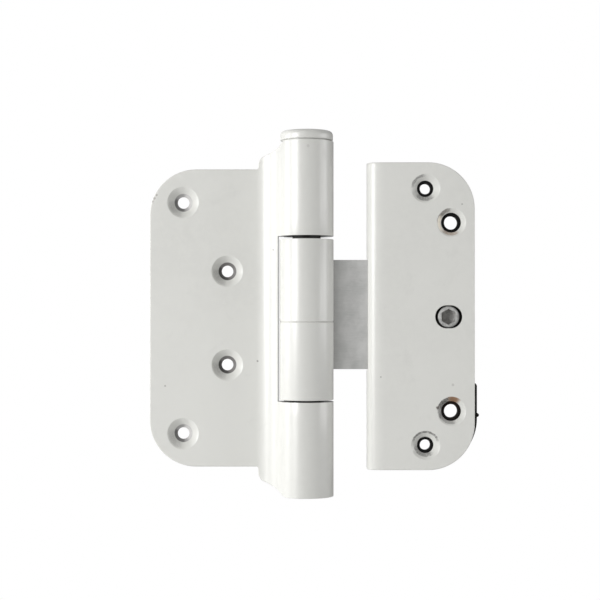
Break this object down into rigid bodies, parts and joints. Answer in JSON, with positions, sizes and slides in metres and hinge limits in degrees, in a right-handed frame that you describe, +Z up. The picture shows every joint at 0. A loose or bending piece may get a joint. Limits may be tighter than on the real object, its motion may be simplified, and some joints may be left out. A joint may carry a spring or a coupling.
{
  "type": "adjustable door hinge",
  "caption": "Three-knuckle door hinge with a rolled jamb leaf, a layered door leaf that slides on a tongue, and a height screw under the pin.",
  "frame": {"origin": "on the pin axis at the barrel's mid height", "axes": "+X from the pin towards the door leaf, +Y towards the jamb and the door behind the leaves, +Z up along the pin; leaves stored open and flat"},
  "size_m": [0.113, 0.0184, 0.1236],
  "materials": {
    "white_paint": "white powder coat over steel",
    "grey_steel": "zinc-plated, satin",
    "dark_steel": "plain machined steel",
    "black_coat": "black coating over steel",
    "nylon": "natural nylon"
  },
  "bodies": {
    "jamb": {"jamb_leaf": "white_paint", "upper_bush": "nylon", "lower_bush": "nylon", "top_cap": "white_paint", "screw_insert": "grey_steel"},
    "carriage": {"thrust_ball": "dark_steel"},
    "height_screw": {"height_screw": "dark_steel"},
    "leaf": {"hinge_pin": "grey_steel", "slide_leaf": "grey_steel", "sleeve_upper": "white_paint", "sleeve_lower": "white_paint"},
    "door": {"cover_plate": "white_paint", "spacer_upper": "black_coat", "spacer_lower": "black_coat", "back_plate": "black_coat"},
    "lock_screw": {"lock_screw": "grey_steel"}
  },
  "joints": [
    {"name": "height_adjust", "type": "slide", "parent": "jamb", "child": "carriage", "axis": [0, 0, 1], "range_m": [-0.00045, 0.00095]},
    {"name": "height_screw_turn", "type": "hinge", "parent": "carriage", "child": "height_screw", "pos_m": [0, 0, -0.0555], "axis": [0, 0, 1], "range_deg": [-135, 280]},
    {"name": "leaf_swing", "type": "hinge", "parent": "carriage", "child": "leaf", "pos_m": [0, 0, 0], "axis": [0, 0, 1], "range_deg": [-180, 105]},
    {"name": "side_adjust", "type": "slide", "parent": "leaf", "child": "door", "axis": [1, 0, 0], "range_m": [-0.00075, 0.00075]},
    {"name": "lock_screw_turn", "type": "hinge", "parent": "leaf", "child": "lock_screw", "pos_m": [0.0485, 0.005, 0.0007], "axis": [0, -1, 0], "range_deg": [0, 180]}
  ],
  "couplings": [
    {"joint": "height_screw_turn", "follows": "height_adjust", "rad_per_m": 5026.5}
  ]
}
